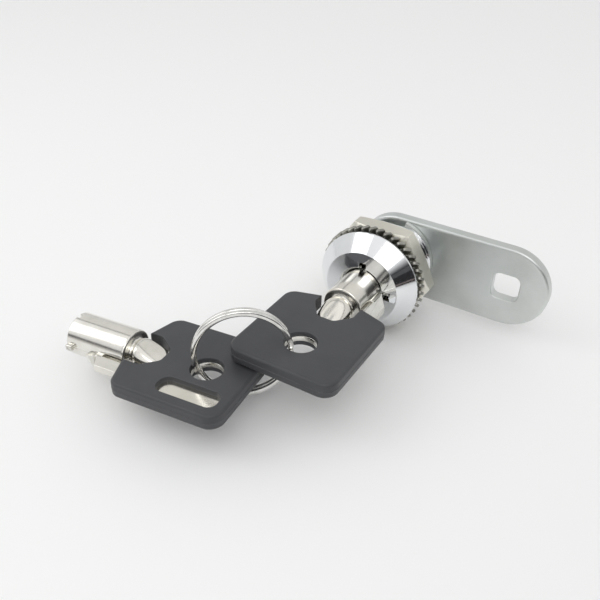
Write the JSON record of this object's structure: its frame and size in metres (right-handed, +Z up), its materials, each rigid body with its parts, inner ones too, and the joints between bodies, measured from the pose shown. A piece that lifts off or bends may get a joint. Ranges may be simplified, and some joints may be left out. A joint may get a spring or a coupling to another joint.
{
  "type": "cam lock",
  "caption": "Tubular-key cam lock for a panel: conical chromed head on a threaded barrel with flats, toothed washer, hex nut and straight cam, with keys on a split ring.",
  "frame": {"origin": "on the lock's axis, in the plane of the head's rear face, which seats on the panel", "axes": "+Y rearward through the panel along the lock's axis, +X along the cam in the locked position, +Z up"},
  "size_m": [0.0789, 0.0752, 0.0246],
  "materials": {
    "chromed_zinc": "polished",
    "washer_steel": "nickel plated",
    "nickel_nut": "nickel plated, satin",
    "turned_brass": "turned",
    "hard_steel": "ground",
    "spring_steel": "drawn wire",
    "zinc_steel": "zinc plated",
    "key_nickel": "nickel plated",
    "ring_steel": "nickel plated wire",
    "bow_plastic": "satin moulded"
  },
  "bodies": {
    "lock_case": {"lock_body": "chromed_zinc", "serrated_washer": "washer_steel", "mounting_nut": "nickel_nut", "pin_sleeve": "turned_brass", "sleeve_pin": "hard_steel", "driver_springs": "spring_steel"},
    "rotor_and_cam": {"rotor": "turned_brass", "stop_washer": "zinc_steel", "cam": "zinc_steel", "cam_spring_washer": "spring_steel", "cam_nut": "nickel_nut"},
    "key_pins": {"key_pin_1": "hard_steel", "key_pin_2": "hard_steel", "key_pin_3": "hard_steel", "key_pin_4": "hard_steel", "key_pin_5": "hard_steel", "key_pin_6": "hard_steel", "key_pin_7": "hard_steel"},
    "driver_pins": {"driver_pins": "hard_steel"},
    "key": {"key_tube": "key_nickel", "key_bow": "bow_plastic"},
    "ring": {"split_ring": "ring_steel"},
    "spare_key": {"spare_key_tube": "key_nickel", "spare_key_bow": "bow_plastic"}
  },
  "joints": [
    {"name": "key_turn", "type": "hinge", "parent": "lock_case", "child": "rotor_and_cam", "pos_m": [0, 0, 0], "axis": [0, -1, 0], "range_deg": [0, 90]},
    {"name": "key_withdraw", "type": "slide", "parent": "rotor_and_cam", "child": "key", "axis": [0, -1, 0], "range_m": [0, 0.025]},
    {"name": "key_pins_travel", "type": "slide", "parent": "rotor_and_cam", "child": "key_pins", "axis": [0, -1, 0], "range_m": [0, 0.0015]},
    {"name": "driver_pins_travel", "type": "slide", "parent": "lock_case", "child": "driver_pins", "axis": [0, -1, 0], "range_m": [0, 0.0015]},
    {"name": "ring_swing", "type": "hinge", "parent": "key", "child": "ring", "pos_m": [-0.00103, -0.03061, 0], "axis": [0, 0, 1], "range_deg": [-35, 35]},
    {"name": "spare_key_swing", "type": "hinge", "parent": "ring", "child": "spare_key", "pos_m": [-0.0147, -0.04117, -0.004], "axis": [-0.0205, -0.0019, 0.9998], "range_deg": [-60, 45]}
  ],
  "couplings": [
    {"joint": "key_pins_travel", "follows": "key_withdraw", "ratio": 0.06},
    {"joint": "driver_pins_travel", "follows": "key_withdraw", "ratio": 0.06}
  ]
}
